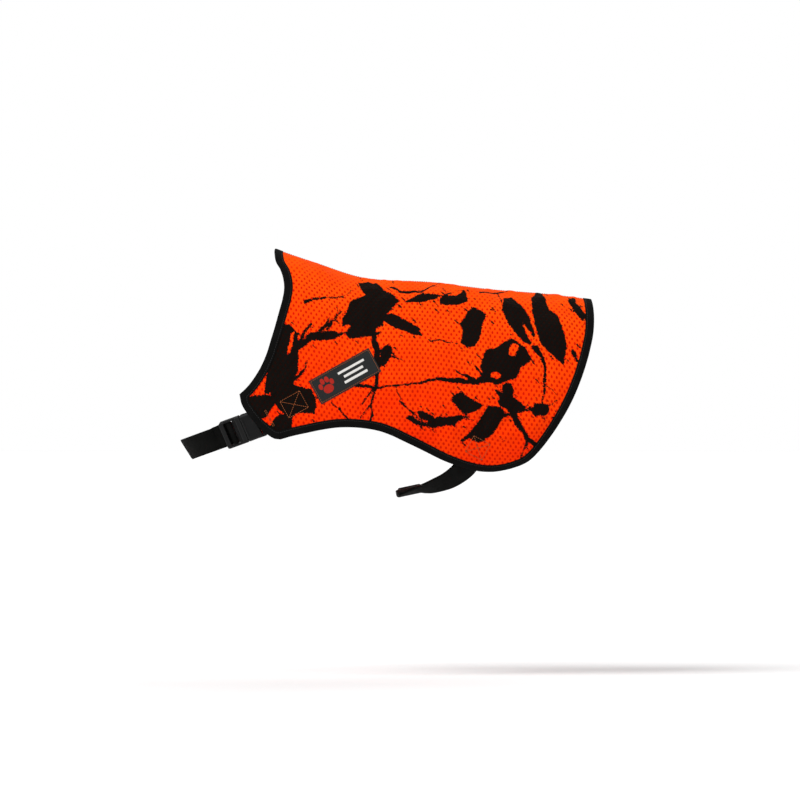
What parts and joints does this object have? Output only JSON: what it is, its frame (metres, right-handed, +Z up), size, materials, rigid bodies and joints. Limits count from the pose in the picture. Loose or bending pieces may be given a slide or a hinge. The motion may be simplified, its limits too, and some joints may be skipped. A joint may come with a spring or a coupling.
{
  "type": "blaze orange dog vest",
  "caption": "High-visibility mesh vest for a dog, open below, with bound edges and a chest strap and a girth strap that each close with a side-release buckle.",
  "frame": {"origin": "inside the torso space, on the centre plane, 137 mm below the middle of the back", "axes": "+X along the back towards the tail, +Y to the dog's right, +Z up; the dog's left side faces -Y"},
  "size_m": [0.5811, 0.2195, 0.3503],
  "materials": {
    "blaze_mesh": "matte",
    "binding_tape": "matte",
    "woven_label": "satin",
    "thread": "satin",
    "webbing": "satin",
    "buckle_plastic": "satin"
  },
  "bodies": {
    "vest": {"left_panel": "blaze_mesh", "right_panel": "blaze_mesh", "back_seam_tape": "binding_tape", "neck_binding": "binding_tape", "hem_binding": "binding_tape", "left_front_binding": "binding_tape", "right_front_binding": "binding_tape", "woven_label": "woven_label", "label_stitching": "thread", "left_chest_stitching": "thread", "right_chest_stitching": "thread", "left_girth_stitching": "thread", "right_girth_stitching": "thread", "chest_tab": "webbing", "chest_strap": "webbing", "girth_tab": "webbing", "girth_strap": "webbing"},
    "chest_socket": {"chest_socket": "buckle_plastic"},
    "chest_plug": {"chest_plug": "buckle_plastic"},
    "chest_latch_upper": {"chest_latch_upper": "buckle_plastic"},
    "chest_latch_lower": {"chest_latch_lower": "buckle_plastic"},
    "girth_socket": {"girth_socket": "buckle_plastic"},
    "girth_plug": {"girth_plug": "buckle_plastic"},
    "girth_latch_front": {"girth_latch_front": "buckle_plastic"},
    "girth_latch_rear": {"girth_latch_rear": "buckle_plastic"}
  },
  "joints": [
    {"name": "chest_buckle_swivel", "type": "hinge", "parent": "vest", "child": "chest_socket", "pos_m": [-0.22167, -0.07479, -0.05897], "axis": [0.3818, 0.2017, -0.902], "range_deg": [0, 18], "deforming": ["chest_strap"]},
    {"name": "chest_release", "type": "slide", "parent": "chest_socket", "child": "chest_plug", "axis": [-0.9118, 0.2419, -0.3319], "range_m": [0, 0.02], "deforming": ["chest_latch_upper", "chest_latch_lower"]},
    {"name": "chest_squeeze", "type": "hinge", "parent": "chest_plug", "child": "chest_latch_upper", "pos_m": [-0.2538, -0.07006, -0.05765], "axis": [0.1513, 0.9491, 0.2763], "range_deg": [0, 8], "stiffness_Nm_per_rad": 0.6},
    {"name": "chest_squeeze_other", "type": "hinge", "parent": "chest_plug", "child": "chest_latch_lower", "pos_m": [-0.24425, -0.06502, -0.0802], "axis": [0.1513, 0.9491, 0.2763], "range_deg": [-8, 0], "stiffness_Nm_per_rad": 0.6},
    {"name": "girth_buckle_swivel", "type": "hinge", "parent": "vest", "child": "girth_socket", "pos_m": [-0.014, -0.03, -0.156], "axis": [0.9781, 0, 0.2079], "range_deg": [-15, 15], "deforming": ["girth_strap"]},
    {"name": "girth_release", "type": "slide", "parent": "girth_socket", "child": "girth_plug", "axis": [0, 1, 0], "range_m": [0, 0.02], "deforming": ["girth_latch_front", "girth_latch_rear"]},
    {"name": "girth_squeeze", "type": "hinge", "parent": "girth_plug", "child": "girth_latch_front", "pos_m": [-0.02623, 0, -0.1586], "axis": [-0.2079, 0, 0.9781], "range_deg": [0, 8], "stiffness_Nm_per_rad": 0.6},
    {"name": "girth_squeeze_other", "type": "hinge", "parent": "girth_plug", "child": "girth_latch_rear", "pos_m": [-0.00177, 0, -0.1534], "axis": [-0.2079, 0, 0.9781], "range_deg": [-8, 0], "stiffness_Nm_per_rad": 0.6}
  ],
  "couplings": [
    {"joint": "chest_squeeze_other", "follows": "chest_squeeze", "ratio": -1},
    {"joint": "girth_squeeze_other", "follows": "girth_squeeze", "ratio": -1}
  ]
}
